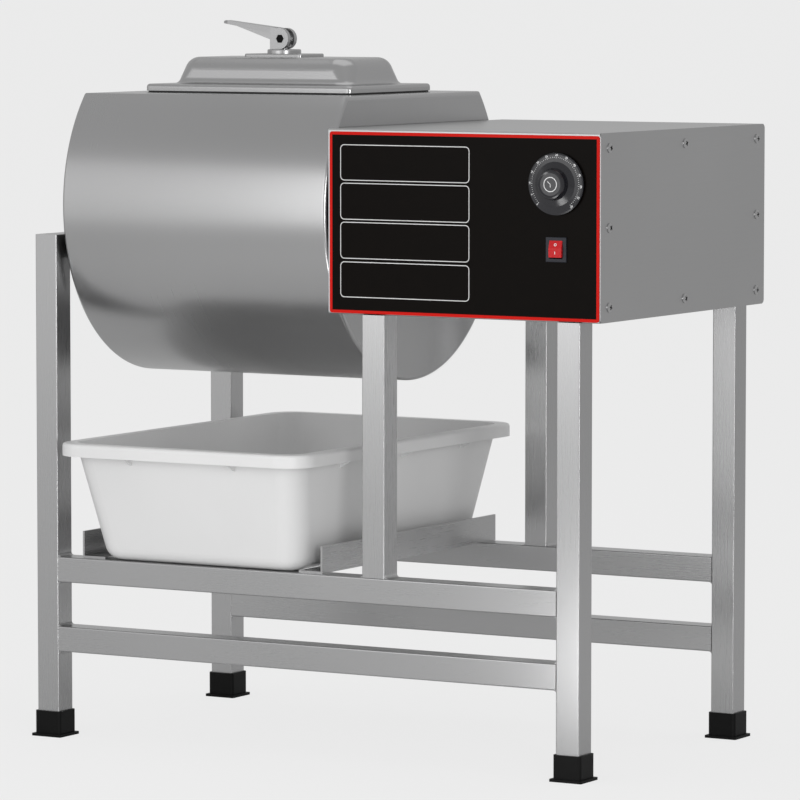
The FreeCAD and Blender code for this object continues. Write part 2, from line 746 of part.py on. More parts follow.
def box_section(offset, start, end, corner):
    """Rounded block of the box's cross-section from X start to X end."""
    slab = Part.Face(rounded_rectangle(box_height - 2 * offset, box_depth - 2 * offset, corner))
    slab = turned(slab.extrude(Z_AXIS * (end - start)), Y_AXIS, 90)
    slab.translate(V(start, axis_y, box_seat_z + box_height / 2))
    return slab


def make_box_shell():
    outer = box_section(0, box_left_x, shell_right_x, box_fold_round)
    inner = box_section(box_sheet, box_left_x + box_sheet, shell_right_x - box_sheet,
                        box_fold_round - box_sheet)
    opening = box_section(box_flange, shell_right_x - 2 * box_sheet, shell_right_x, box_fold_round)
    shell = outer.cut(inner).cut(opening)
    shaft_hole = cylinder(shaft_diameter / 2 + 4.0, (box_left_x, axis_y, axis_z), X_AXIS, box_sheet)
    timer_hole = cylinder(timer_shaft_diameter / 2 + 1.0, (timer_x, box_front_y, timer_z), Y_AXIS,
                          box_sheet)
    gland_hole = cylinder(gland_diameter * 0.4, (gland_x, box_back_y - box_sheet, gland_z), Y_AXIS,
                          box_sheet)
    shell = shell.cut(shaft_hole).cut(timer_hole).cut(gland_hole)
    shell = shell.cut(switch_cutout(box_front_y, box_sheet))
    for y, z in cover_screw_places():
        shell = shell.cut(cylinder(cover_screw_shank / 2, (shell_right_x - 2 * box_sheet, y, z),
                                   X_AXIS, 2 * box_sheet))
    return shell


def switch_cutout(y, depth):
    return block((switch_x - switch_body_width / 2, y, switch_z - switch_body_height / 2),
                 (switch_x + switch_body_width / 2, y + depth, switch_z + switch_body_height / 2))


def make_side_plate():
    plate = box_section(0, shell_right_x, box_right_x, side_plate_corner)
    for y, z in cover_screw_places():
        plate = plate.cut(cylinder(cover_screw_shank / 2, (shell_right_x, y, z), X_AXIS,
                                   side_plate_thickness))
    return plate


def make_cover_screws():
    screws = []
    for y, z in cover_screw_places():
        start = box_right_x - cover_screw_length
        shank = cylinder(cover_screw_shank / 2, (start, y, z), X_AXIS, cover_screw_length)
        radius = cover_screw_head / 2
        rim = cover_screw_head_height * 0.4
        head = revolved([(0, 0), (0, radius), (rim, radius), (cover_screw_head_height, radius * 0.55),
                         (cover_screw_head_height, 0)], (box_right_x, y, z), X_AXIS)
        slot_depth = cover_screw_head_height * 0.5
        slots = []
        for wide, tall in ((1.2, radius * 0.9), (radius * 0.9, 1.2)):
            slots.append(block((box_right_x + cover_screw_head_height - slot_depth, y - wide / 2,
                                z - tall / 2),
                               (box_right_x + cover_screw_head_height, y + wide / 2, z + tall / 2)))
        screws.append(fuse([shank, head]).cut(slots[0].fuse(slots[1])))
    return Part.makeCompound(screws)


def make_panel():
    """Thin printed face plate on the box's front."""
    plate = Part.Face(rounded_rectangle(panel_width, panel_height, panel_corner))
    plate = turned(plate.extrude(Z_AXIS * panel_thickness), X_AXIS, 90)
    plate.translate(V(box_left_x + panel_left_margin + panel_width / 2, box_front_y,
                      box_seat_z + panel_bottom_margin + panel_height / 2))
    plate = plate.cut(switch_cutout(box_front_y - panel_thickness, panel_thickness))
    return plate.cut(cylinder(timer_shaft_diameter / 2 + 1.0,
                              (timer_x, box_front_y - panel_thickness, timer_z), Y_AXIS,
                              panel_thickness))


def make_upright(y):
    """Short post inside the box, over a middle post."""
    low = box_seat_z + box_sheet
    return square_tube((middle_post_x + tube / 2, y + tube / 2, low), Z_AXIS, left_leg_top - low)


# ---------------------------------------------------------------- timer and switch

def make_timer_body():
    wall = box_front_y + box_sheet
    half = timer_body_width / 2
    case = block((timer_x - half, wall, timer_z - half),
                 (timer_x + half, wall + timer_body_depth, timer_z + half))
    neck = cylinder(timer_shaft_diameter / 2 + 1.0, (timer_x, box_front_y - panel_thickness, timer_z),
                    Y_AXIS, box_sheet + panel_thickness)
    bore = cylinder(timer_shaft_diameter / 2 + running_clearance,
                    (timer_x, box_front_y - panel_thickness, timer_z), Y_AXIS,
                    timer_body_depth * 0.6)
    return fuse([case, neck]).cut(bore)


def make_knob():
    """Dial with a wide skirt, a dished cone and a finger cap, and the shaft it turns."""
    front = box_front_y - panel_thickness - knob_panel_gap
    radius, cap = knob_diameter / 2, knob_cap_diameter / 2
    profile = [(0, 0), (0, radius - 1), (-1, radius), (-knob_skirt_height + 1, radius),
               (-knob_skirt_height, radius - 2), (-knob_skirt_height - 1.5, radius * 0.72),
               (-knob_skirt_height - 5, cap + 1.5), (-knob_height + 3, cap), (-knob_height + 0.8, cap - 1),
               (-knob_height, cap - 3), (-knob_height + 1, cap - 5.5), (-knob_height + 1, 0)]
    dial = revolved(profile, (timer_x, front, timer_z), Y_AXIS)
    shaft = cylinder(timer_shaft_diameter / 2, (timer_x, front, timer_z), Y_AXIS,
                     knob_panel_gap + panel_thickness + box_sheet + timer_body_depth * 0.4)
    return fuse([dial, shaft])


def make_switch_housing():
    front = box_front_y - panel_thickness
    half_w, half_h = switch_bezel_width / 2, switch_bezel_height / 2
    bezel = block((switch_x - half_w, front - switch_bezel_thickness, switch_z - half_h),
                  (switch_x + half_w, front, switch_z + half_h))
    bezel = bezel.makeFillet(0.8, [edge for edge in bezel.Edges
                                   if edge.BoundBox.YMax < front - switch_bezel_thickness / 2])
    case = switch_cutout(front, switch_body_depth)
    pocket = block((switch_x - rocker_width / 2 - rocker_clearance, front - switch_bezel_thickness,
                    switch_z - rocker_height / 2 - rocker_end_clearance),
                   (switch_x + rocker_width / 2 + rocker_clearance, front + switch_body_depth * 0.6,
                    switch_z + rocker_height / 2 + rocker_end_clearance))
    pivots = rocker_pin(running_clearance)
    return fuse([bezel, case]).cut(pocket).cut(pivots)


def rocker_pin(extra):
    """Pivot pin across the rocker; extra widens it into the bore that holds it."""
    length = rocker_width + 2 * (rocker_clearance + rocker_pin_reach) + 2 * extra
    return cylinder(rocker_pin_diameter / 2 + extra, (switch_x - length / 2, rocker_pivot_y(), switch_z),
                    X_AXIS, length)


def rocker_pivot_y():
    return box_front_y - panel_thickness - switch_bezel_thickness + 6.0


def make_rocker():
    """Rocker with two shallow faces, pressed in at the top (off)."""
    face = -6.0 - rocker_swell
    half = rocker_height / 2
    skirt = 3.0
    profile = [(half, face + 1.6), (1.0, face), (-1.0, face), (-half, face + 1.6),
               (-half + 1.5, skirt), (half - 1.5, skirt)]
    corners = [V(switch_x - rocker_width / 2, rocker_pivot_y() + y, switch_z + z) for z, y in profile]
    rocker = Part.Face(Part.makePolygon(corners + corners[:1])).extrude(X_AXIS * rocker_width)
    rocker.rotate(V(switch_x, rocker_pivot_y(), switch_z), X_AXIS, -rocker_tilt)
    return fuse([rocker, rocker_pin(0)])


# ---------------------------------------------------------------- gearmotor

def reducer_start():
    return bearing_right_x + bearing_base_width / 2 + reducer_gap


def reducer_end():
    return reducer_start() + reducer_length


def worm_z():
    return axis_z - worm_drop


def make_reducer():
    """Worm gear housing with a flange at each end of the output and one for the motor."""
    start, end = reducer_start() + output_flange_length, reducer_end() - output_flange_length
    height = reducer_above + reducer_below
    body = Part.Face(rounded_rectangle(height, reducer_width, reducer_corner))
    body = turned(body.extrude(Z_AXIS * (end - start)), Y_AXIS, 90)
    body.translate(V(start, axis_y, axis_z + (reducer_above - reducer_below) / 2))
    hub = cylinder(output_flange_diameter / 2, (reducer_start(), axis_y, axis_z), X_AXIS,
                   reducer_length)
    mouth = cylinder(motor_flange_diameter / 2 * 0.62,
                     ((start + end) / 2, axis_y + reducer_width / 2 - 1, worm_z()), Y_AXIS, 9.0)
    bore_radius = shaft_diameter / 2 + sleeve_wall + running_clearance
    bore = cylinder(bore_radius, (reducer_start(), axis_y, axis_z), X_AXIS, reducer_length)
    return fuse([body, hub, mouth]).cut(bore)


def make_output_sleeve():
    """Hollow output shaft, keyed on the drum's drive shaft."""
    start = reducer_start() - sleeve_overhang
    length = reducer_length + 2 * sleeve_overhang
    sleeve = cylinder(shaft_diameter / 2 + sleeve_wall, (start, axis_y, axis_z), X_AXIS, length)
    return sleeve.cut(cylinder(shaft_diameter / 2, (start, axis_y, axis_z), X_AXIS, length))


def motor_start():
    return axis_y + reducer_width / 2 + 8.0


def motor_x():
    return (reducer_start() + reducer_end()) / 2


def make_motor():
    """Flanged motor with lengthwise cooling fins."""
    y, x, z = motor_start(), motor_x(), worm_z()
    flange = cylinder(motor_flange_diameter / 2, (x, y, z), Y_AXIS, motor_flange_thickness)
    core_radius = motor_diameter / 2 - motor_fin_height
    core = cylinder(core_radius, (x, y, z), Y_AXIS, motor_flange_thickness + motor_length)
    fins = []
    for index in range(motor_fin_count):
        fin = block((x + core_radius - 1, y + motor_flange_thickness, z - 1.2),
                    (x + motor_diameter / 2, y + motor_flange_thickness + motor_length - 4, z + 1.2))
        fin.rotate(V(x, y, z), Y_AXIS, (index + 0.5) * 360 / motor_fin_count)
        fins.append(fin)
    return fuse([flange, core] + fins)


def make_motor_cowl():
    """Pressed fan cover over the motor's far end, with round air holes."""
    y, x, z = motor_start() + motor_flange_thickness + motor_length, motor_x(), worm_z()
    outside = cylinder(motor_diameter / 2, (x, y, z), Y_AXIS, cowl_length)
    outside = outside.makeFillet(8.0, [edge for edge in outside.Edges
                                       if edge.BoundBox.YMin > y + cowl_length - 1])
    inside = cylinder(motor_diameter / 2 - cowl_sheet, (x, y + cowl_sheet, z), Y_AXIS,
                      cowl_length - 2 * cowl_sheet - 8.0)
    cowl = outside.cut(inside)
    for index in range(8):
        angle = math.radians(45 * index)
        hole = cylinder(5.0, (x + 26 * math.cos(angle), y + cowl_length / 2, z + 26 * math.sin(angle)),
                        Y_AXIS, cowl_length)
        cowl = cowl.cut(hole)
    return cowl


def make_terminal_box():
    """Motor's connection box, on its right side."""
    x = motor_x() + motor_diameter / 2 - motor_fin_height
    y = motor_start() + motor_flange_thickness + 20
    z = worm_z()
    half = terminal_box_size / 2
    case = block((x - 6, y, z - half * 0.7), (x + terminal_box_height, y + terminal_box_size,
                                              z + half * 0.7))
    lid = block((x + terminal_box_height, y - 1.5, z - half * 0.7 - 1.5),
                (x + terminal_box_height + 4, y + terminal_box_size + 1.5, z + half * 0.7 + 1.5))
    saddle = cylinder(motor_diameter / 2 + 0.3, (motor_x(), y - 5, z), Y_AXIS, terminal_box_size + 10)
    return fuse([case, lid]).cut(saddle)


def make_reducer_stand():
    """Folded bracket: a top the reducer's feet rest on, two webs, and feet on the box floor."""
    top = axis_z - reducer_below
    floor = box_seat_z + box_sheet
    start, end = reducer_start() + output_flange_length, reducer_end() - output_flange_length
    front, back = axis_y - reducer_width / 2, axis_y + reducer_width / 2
    plate = block((start, front, top - stand_sheet), (end, back, top))
    pieces = [plate]
    for side, edge in ((-1, front), (1, back)):
        web = sorted((edge, edge - side * stand_sheet))
        foot = sorted((edge - side * stand_sheet, edge + side * stand_overhang))
        pieces.append(block((start, web[0], floor), (end, web[1], top)))
        pieces.append(block((start, foot[0], floor), (end, foot[1], floor + stand_sheet)))
    return fuse(pieces)


def make_capacitor():
    """Motor capacitor, lying on the box floor."""
    radius = capacitor_diameter / 2
    floor = box_seat_z + box_sheet
    x, y = reducer_end() + capacitor_gap, axis_y - capacitor_offset
    can = cylinder(radius, (x, y - capacitor_length, floor + radius), Y_AXIS, capacitor_length)
    can = can.makeFillet(3.0, [edge for edge in can.Edges if edge.BoundBox.YLength < 0.01])
    clip = block((x - radius - 4, y - capacitor_length * 0.6, floor),
                 (x + radius + 4, y - capacitor_length * 0.4, floor + radius * 0.9))
    return fuse([can, clip])


def make_gland():
    """Cable gland in the back wall."""
    hexagon_length = gland_length * 0.25
    outside = revolved([(0, 0), (0, gland_diameter / 2), (hexagon_length, gland_diameter / 2),
                        (hexagon_length, gland_diameter * 0.4), (gland_length * 0.5, gland_diameter * 0.3),
                        (gland_length * 0.5, 0)], (gland_x, box_back_y, gland_z), Y_AXIS)
    inside = cylinder(gland_diameter * 0.4, (gland_x, box_back_y - gland_length * 0.5, gland_z), Y_AXIS,
                      gland_length * 0.5)
    bore = cylinder(gland_bore / 2, (gland_x, box_back_y - gland_length, gland_z), Y_AXIS,
                    2 * gland_length)
    return fuse([outside, inside]).cut(bore)


# ---------------------------------------------------------------- assembly

def build():
    parts = {}
    for name, (x, y, top) in leg_places().items():
        parts[name + "_leg"] = make_leg(x, y, top)
        parts[name + "_foot"] = make_foot(x, y)
    for side, y in (("front", 0.0), ("back", stand_depth - tube)):
        parts[side + "_lower_rail"] = make_rail(y, lower_rail_z)
        parts[side + "_upper_rail"] = make_rail(y, upper_rail_z)
        parts[side + "_middle_post"] = make_middle_post(y)
    parts["front_upright"] = make_upright(box_front_y + box_fold_round)
    parts["back_upright"] = make_upright(box_back_y - box_fold_round - tube)
    parts["left_cross_tube"] = make_cross_tube(bearing_left_x)
    parts["box_cross_tube"] = make_box_cross_tube()
    parts["left_guide"] = make_guide(guide_left_x, 1)
    parts["right_guide"] = make_guide(guide_right_x, -1)
    parts["left_bearing"] = make_bearing(bearing_left_x)
    parts["right_bearing"] = make_bearing(bearing_right_x)
    parts["bearing_bolts"] = make_bearing_bolts()
    parts["basin"] = make_basin()

    parts["drum_barrel"], parts["drum_left_cap"], parts["drum_right_cap"] = make_drum_pieces()
    for index in range(baffle_count):
        parts["baffle_%d" % (index + 1)] = make_baffle(index)
    parts["left_shaft"] = make_left_shaft()
    parts["right_shaft"] = make_right_shaft()
    parts["mouth_collar"] = make_collar()
    parts["mouth_bridge"] = make_bridge()
    parts["output_sleeve"] = make_output_sleeve()

    parts["lid"] = make_lid()
    parts["lid_gasket"] = make_gasket()
    parts["clamp_plate"] = make_clamp_plate()
    parts["clamp_washer"] = make_clamp_washer()
    parts["clamp_rod"] = make_clamp_rod()
    parts["cam_lever"] = make_lever()

    parts["box_shell"] = make_box_shell()
    parts["side_plate"] = make_side_plate()
    parts["cover_screws"] = make_cover_screws()
    parts["front_panel"] = make_panel()
    parts["timer_body"] = make_timer_body()
    parts["timer_knob"] = make_knob()
    parts["switch_housing"] = make_switch_housing()
    parts["switch_rocker"] = make_rocker()
    parts["gear_reducer"] = make_reducer()
    parts["motor"] = make_motor()
    parts["motor_cowl"] = make_motor_cowl()
    parts["motor_terminal_box"] = make_terminal_box()
    parts["reducer_stand"] = make_reducer_stand()
    parts["motor_capacitor"] = make_capacitor()
    parts["cable_gland"] = make_gland()
    return parts


def make_box_cross_tube():
    """Cross tube inside the box, between the two uprights."""
    start = box_front_y + box_fold_round + tube
    length = box_depth - 2 * box_fold_round - 2 * tube
    cross = square_tube((bearing_right_x, start, left_leg_top - tube / 2), Y_AXIS, length)
    for bolt_x, bolt_y in bolt_places(bearing_right_x):
        cross = cross.cut(cylinder(bearing_bolt_diameter / 2, (bolt_x, bolt_y, left_leg_top - tube),
                                   Z_AXIS, tube))
    return cross


def main():
    os.makedirs("parts", exist_ok=True)
    for name, shape in build().items():
        shape.translate(origin * -1)
        shape.exportStep(os.path.join("parts", name + ".step"))
        box = shape.BoundBox
        print("%-20s solids %d  valid %s  volume %.0f  x %.1f..%.1f y %.1f..%.1f z %.1f..%.1f" % (
            name, len(shape.Solids), shape.isValid(), shape.Volume,
            box.XMin, box.XMax, box.YMin, box.YMax, box.ZMin, box.ZMax))


main()
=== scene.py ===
import json
import math
import bpy
import bmesh
from mathutils import Matrix, Vector
from mathutils.bvhtree import BVHTree


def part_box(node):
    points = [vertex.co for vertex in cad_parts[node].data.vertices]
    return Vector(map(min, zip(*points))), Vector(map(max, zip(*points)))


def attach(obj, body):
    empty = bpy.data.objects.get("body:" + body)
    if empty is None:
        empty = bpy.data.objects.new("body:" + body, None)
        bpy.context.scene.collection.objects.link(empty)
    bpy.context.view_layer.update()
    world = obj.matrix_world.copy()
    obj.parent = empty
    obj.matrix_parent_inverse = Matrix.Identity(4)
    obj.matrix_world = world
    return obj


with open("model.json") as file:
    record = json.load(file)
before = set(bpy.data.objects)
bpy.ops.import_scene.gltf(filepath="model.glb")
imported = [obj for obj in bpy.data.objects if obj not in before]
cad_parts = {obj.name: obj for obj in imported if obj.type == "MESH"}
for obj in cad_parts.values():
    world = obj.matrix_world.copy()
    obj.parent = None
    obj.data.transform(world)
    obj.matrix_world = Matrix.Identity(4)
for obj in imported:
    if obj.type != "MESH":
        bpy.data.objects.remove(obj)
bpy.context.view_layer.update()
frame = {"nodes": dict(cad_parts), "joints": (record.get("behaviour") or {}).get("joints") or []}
nodes = frame["nodes"]
print("frame loaded:", len(nodes), "nodes")


# a socket that takes part in plain expressions
class Wire:
    def __init__(self, tree, socket):
        self.tree, self.socket = tree, socket

    def maths(self, operation, *others):
        node = self.tree.nodes.new("ShaderNodeMath")
        node.operation = operation
        for slot, value in zip(node.inputs, (self,) + others):
            plug(slot, value)
        return Wire(self.tree, node.outputs[0])

    def __add__(self, other): return self.maths("ADD", other)
    def __radd__(self, other): return self.maths("ADD", other)
    def __mul__(self, other): return self.maths("MULTIPLY", other)
    def __rmul__(self, other): return self.maths("MULTIPLY", other)
    def __sub__(self, other): return self.maths("SUBTRACT", other)
    def __rsub__(self, other): return (self * -1.0) + other
    def __lt__(self, other): return self.maths("LESS_THAN", other)
    def __gt__(self, other): return self.maths("GREATER_THAN", other)
    def __abs__(self): return self.maths("ABSOLUTE")


def plug(slot, value):
    if isinstance(value, Wire):
        value.tree.links.new(value.socket, slot)
    else:
        slot.default_value = value


class Finish:
    def __init__(self, name):
        self.material = bpy.data.materials.new(name)
        self.material.use_nodes = True
        self.tree = self.material.node_tree
        self.tree.nodes.clear()
        self.output = self.tree.nodes.new("ShaderNodeOutputMaterial")

    def node(self, kind, settings=None, take=0, inputs=None):
        made = self.tree.nodes.new(kind)
        for key, value in (settings or {}).items():
            setattr(made, key, value)
        for key, value in (inputs or {}).items():
            plug(made.inputs[key], value)
        return Wire(self.tree, made.outputs[take])

    def coords(self):
        return self.node("ShaderNodeTexCoord", take=3)

    def axes(self):
        split = self.tree.nodes.new("ShaderNodeSeparateXYZ")
        plug(split.inputs[0], self.coords())
        return [Wire(self.tree, out) for out in split.outputs]

    def mapped(self, scale):
        return self.node("ShaderNodeMapping", inputs={"Vector": self.coords(), "Scale": scale})

    def noise(self, vector, scale, detail=2.0, roughness=0.5):
        return self.node("ShaderNodeTexNoise", inputs={"Vector": vector, "Scale": scale,
                                                       "Detail": detail, "Roughness": roughness})

    def mix(self, factor, first, second):
        return self.node("ShaderNodeMix", {"data_type": "RGBA"}, 2, {0: factor, 6: first, 7: second})

    def bump(self, height, strength, distance):
        return self.node("ShaderNodeBump", inputs={"Height": height, "Strength": strength,
                                                   "Distance": distance})

    def surface(self, **sockets):
        shader = self.tree.nodes.new("ShaderNodeBsdfPrincipled")
        for key, value in sockets.items():
            plug(shader.inputs[key.replace("_", " ")], value)
        self.tree.links.new(shader.outputs[0], self.output.inputs[0])
        return self.material


def grey(value):
    return (value, value, value, 1.0)


def brushedSteel(name, look):
    finish = Finish(name)
    grain = finish.noise(finish.mapped(look["grain"]), 1.0, look["grainDetail"], look["grainSoft"])
    cloud = finish.noise(finish.coords(), look["cloudScale"])
    tone = finish.mix(cloud, look["dark"], look["light"])
    tone = finish.mix(grain * look["grainTone"], tone, grey(look["grainGrey"]))
    rough = look["rough"] + (grain - 0.5) * look["grainRough"] + (cloud - 0.5) * look["cloudRough"]
    height = finish.bump(grain, look["bump"], look["bumpReach"])
    return finish.surface(Base_Color=tone, Metallic=1.0, Roughness=rough, Normal=height)


steelLook = {"dark": (0.425, 0.425, 0.428, 1), "light": (0.475, 0.475, 0.478, 1),
             "cloudScale": 3.0, "grainDetail": 3.0, "grainSoft": 0.6, "grainGrey": 0.25,
             "grainTone": 0.04, "grainRough": 0.05, "cloudRough": 0.04, "rough": 0.28,
             "bump": 0.025, "bumpReach": 0.0002}
tubeAcross = brushedSteel("tubeSteelAcross", dict(steelLook, grain=(14, 900, 900)))
tubeUpright = brushedSteel("tubeSteelUpright", dict(steelLook, grain=(900, 900, 14)))
tubeDeep = brushedSteel("tubeSteelDeep", dict(steelLook, grain=(900, 14, 900)))
drumSteel = brushedSteel("drumSteel", dict(steelLook, grain=(500, 12, 12), rough=0.26, bump=0.03,
                                           grainTone=0.05))
boxSteel = brushedSteel("boxSteel", dict(steelLook, grain=(300, 10, 300), rough=0.34, bump=0.02,
                                         grainTone=0.05))
lidSteel = brushedSteel("lidSteel", dict(steelLook, grain=(40, 600, 600), rough=0.26, bump=0.02,
                                         grainTone=0.04))
castSteel = brushedSteel("castSteel", dict(steelLook, grain=(260, 260, 260), rough=0.30, bump=0.10,
                                           grainTone=0.08))


plasticLook = {"cloudScale": 6.0, "cloudGain": 1.08, "cloudLift": 0.004, "grainRough": 0.12,
               "bumpReach": 0.0002}


def mouldedPlastic(name, colour, rough, pebble, bump, shine=0.5):
    look = plasticLook
    finish = Finish(name)
    grain = finish.noise(finish.coords(), pebble)
    cloud = finish.noise(finish.coords(), look["cloudScale"])
    lighter = [min(1.0, part * look["cloudGain"] + look["cloudLift"]) for part in colour[:3]]
    tone = finish.mix(cloud, colour, (*lighter, 1.0))
    return finish.surface(Base_Color=tone, Roughness=rough + (grain - 0.5) * look["grainRough"],
                          Normal=finish.bump(grain, bump, look["bumpReach"]),
                          Specular_IOR_Level=shine)


blackPlastic = mouldedPlastic("footPlastic", (0.003, 0.003, 0.003, 1), 0.45, 900.0, 0.15, shine=0.12)
basinPlastic = mouldedPlastic("basinPlastic", (0.72, 0.72, 0.72, 1), 0.38, 700.0, 0.05)
dialPlastic = mouldedPlastic("dialPlastic", (0.006, 0.006, 0.009, 1), 0.20, 900.0, 0.03, shine=0.6)
switchPlastic = mouldedPlastic("switchPlastic", (0.010, 0.011, 0.018, 1), 0.35, 900.0, 0.1, shine=0.3)
rockerPlastic = mouldedPlastic("rockerPlastic", (0.50, 0.004, 0.007, 1), 0.30, 500.0, 0.03, shine=0.25)
# painted shade: near-black that stands in for the shade inside the screw crosses and the pin's hex
# socket
recessShade = mouldedPlastic("recessShade", (0.003, 0.003, 0.003, 1), 0.6, 900.0, 0.1, shine=0.1)
sealRubber = mouldedPlastic("sealRubber", (0.02, 0.02, 0.02, 1), 0.6, 800.0, 0.2)
motorPaint = mouldedPlastic("motorPaint", (0.10, 0.11, 0.13, 1), 0.45, 500.0, 0.2)
castPaint = mouldedPlastic("castPaint", (0.05, 0.09, 0.08, 1), 0.4, 300.0, 0.4)
canPlastic = mouldedPlastic("canPlastic", (0.55, 0.55, 0.54, 1), 0.5, 700.0, 0.1)
markWhite = mouldedPlastic("markWhite", (0.80, 0.80, 0.80, 1), 0.5, 700.0, 0.02)


# face film: black field, red border and four outlined note fields, all from the film's own box
filmLook = {"border": 0.0045, "corner": 0.004, "line": 0.0011, "fieldCorner": 0.006,
            "fieldLeft": 0.0185, "fieldRight": 0.2315,
            "fields": ((0.1925, 0.2435), (0.1360, 0.1880), (0.0795, 0.1316), (0.0235, 0.0742)),
            "dustScale": 60.0, "dark": (0.0022, 0.0014, 0.001, 1), "dusty": (0.0042, 0.003, 0.0022, 1),
            "white": 0.75, "red": (0.58, 0.012, 0.008, 1), "rough": 0.32, "dustRough": 0.08,
            "shine": 0.05}


def roundedBox(x, z, centre, half, corner):
    pastX = abs(x - centre[0]) - (half[0] - corner)
    pastZ = abs(z - centre[1]) - (half[1] - corner)
    outX, outZ = pastX.maths("MAXIMUM", 0.0), pastZ.maths("MAXIMUM", 0.0)
    inner = pastX.maths("MAXIMUM", pastZ).maths("MINIMUM", 0.0)
    return (outX * outX + outZ * outZ).maths("SQRT") + inner - corner


def faceFilm():
    low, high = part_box("front_panel")
    finish = Finish("faceFilm")
    x, _, z = finish.axes()
    look = filmLook
    centre = ((low.x + high.x) / 2, (low.z + high.z) / 2)
    half = ((high.x - low.x) / 2, (high.z - low.z) / 2)
    rim = roundedBox(x, z, centre, half, look["corner"]) > -look["border"]
    lines = None
    for bottom, top in look["fields"]:
        middle = (low.x + (look["fieldLeft"] + look["fieldRight"]) / 2, low.z + (bottom + top) / 2)
        size = ((look["fieldRight"] - look["fieldLeft"]) / 2, (top - bottom) / 2)
        line = abs(roundedBox(x, z, middle, size, look["fieldCorner"])) < look["line"] / 2
        lines = line if lines is None else lines.maths("MAXIMUM", line)
    dust = finish.noise(finish.coords(), look["dustScale"], 3.0)
    tone = finish.mix(dust, look["dark"], look["dusty"])
    tone = finish.mix(lines, tone, grey(look["white"]))
    tone = finish.mix(rim, tone, look["red"])
    return finish.surface(Base_Color=tone, Roughness=look["rough"] + dust * look["dustRough"],
                          Specular_IOR_Level=look["shine"])


filmFinish = faceFilm()
print("finishes ready")


def dress(finish, *names):
    for name in names:
        piece = nodes[name]
        piece.data.materials.clear()
        piece.data.materials.append(finish)
        for face in piece.data.polygons:
            face.material_index = 0


dress(tubeUpright, "front_left_leg", "back_left_leg", "front_right_leg", "back_right_leg",
      "front_middle_post", "back_middle_post", "front_upright", "back_upright")
dress(tubeAcross, "front_lower_rail", "back_lower_rail", "front_upper_rail", "back_upper_rail")
dress(tubeDeep, "left_cross_tube", "box_cross_tube", "left_guide", "right_guide")
dress(blackPlastic, "front_left_foot", "back_left_foot", "front_right_foot", "back_right_foot",
      "cable_gland", "timer_body", "motor_terminal_box")
dress(dialPlastic, "timer_knob")
dress(drumSteel, "drum_barrel", "drum_left_cap", "drum_right_cap")
dress(castSteel, "baffle_1", "baffle_2", "baffle_3", "left_shaft", "right_shaft", "mouth_collar",
      "mouth_bridge", "output_sleeve", "clamp_washer", "clamp_rod", "cam_lever", "cover_screws",
      "bearing_bolts", "gear_reducer")
dress(lidSteel, "lid", "clamp_plate")
dress(sealRubber, "lid_gasket")
dress(boxSteel, "box_shell", "side_plate")
dress(filmFinish, "front_panel")
dress(switchPlastic, "switch_housing")
dress(rockerPlastic, "switch_rocker")
dress(basinPlastic, "basin")
dress(castPaint, "left_bearing", "right_bearing")
dress(motorPaint, "motor", "motor_cowl", "reducer_stand")
dress(canPlastic, "motor_capacitor")
print("nodes dressed")


# a piece of the scene: its mesh, finish, body and slot in one call
def finishPiece(name, mesh, finish, body):
    bmesh.ops.recalc_face_normals(mesh, faces=mesh.faces)
    data = bpy.data.meshes.new(name)
    mesh.to_mesh(data)
    mesh.free()
    data.materials.append(finish)
    piece = bpy.data.objects.new(name, data)
    bpy.context.scene.collection.objects.link(piece)
    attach(piece, body)


def skinOf(name):
    shell = bmesh.new()
    shell.from_mesh(nodes[name].data)
    tree = BVHTree.FromBMesh(shell)
    shell.free()
    return tree


# printed marks: their own thickness, how far they stand off, and how bold the letters are
markLook = {"thick": 0.00012, "lift": 0.00006, "bold": 0.012, "curveSteps": 3}


# where a line going back from the front meets a node, as a frame that lies on its surface
def seatOn(tree, x, z):
    place, normal, _, _ = tree.ray_cast(Vector((x, -1.0, z)), Vector((0.0, 1.0, 0.0)))
    turn = Vector((0.0, -1.0, 0.0)).rotation_difference(normal)
    return Matrix.Translation(place + normal * markLook["lift"]) @ turn.to_matrix().to_4x4()


def addText(mesh, words, height, place):
    curve = bpy.data.curves.new("words", "FONT")
    curve.body = words
    curve.size = height
    curve.extrude = height * markLook["bold"]
    curve.offset = height * markLook["bold"]
    curve.resolution_u = markLook["curveSteps"]
    curve.align_x, curve.align_y = "CENTER", "CENTER"
    holder = bpy.data.objects.new("words", curve)
    bpy.context.scene.collection.objects.link(holder)
    bpy.context.view_layer.update()
    flat = bpy.data.meshes.new_from_object(holder)
    flat.transform(place @ Matrix.Rotation(math.pi / 2, 4, "X"))
    mesh.from_mesh(flat)
    bpy.data.objects.remove(holder)


def addBar(mesh, width, height, place):
    sides = Matrix.Diagonal((width, markLook["thick"], height, 1.0))
    bmesh.ops.create_cube(mesh, size=1.0, matrix=place @ sides)


def addRing(mesh, radius, width, place, steps=48):
    outer = bmesh.ops.create_circle(mesh, radius=radius + width / 2, segments=steps)["verts"]
    inner = bmesh.ops.create_circle(mesh, radius=radius - width / 2, segments=steps)["verts"]
    rings = list({edge for vert in outer + inner for edge in vert.link_edges})
    faces = bmesh.ops.bridge_loops(mesh, edges=rings)["faces"]
    raised = bmesh.ops.extrude_face_region(mesh, geom=faces)["geom"]
    raised = [part for part in raised if isinstance(part, bmesh.types.BMVert)]
    bmesh.ops.translate(mesh, verts=raised, vec=(0, 0, markLook["thick"]))
    bmesh.ops.transform(mesh, verts=list(set(outer + inner + raised)),
                        matrix=place @ Matrix.Rotation(math.pi / 2, 4, "X"))


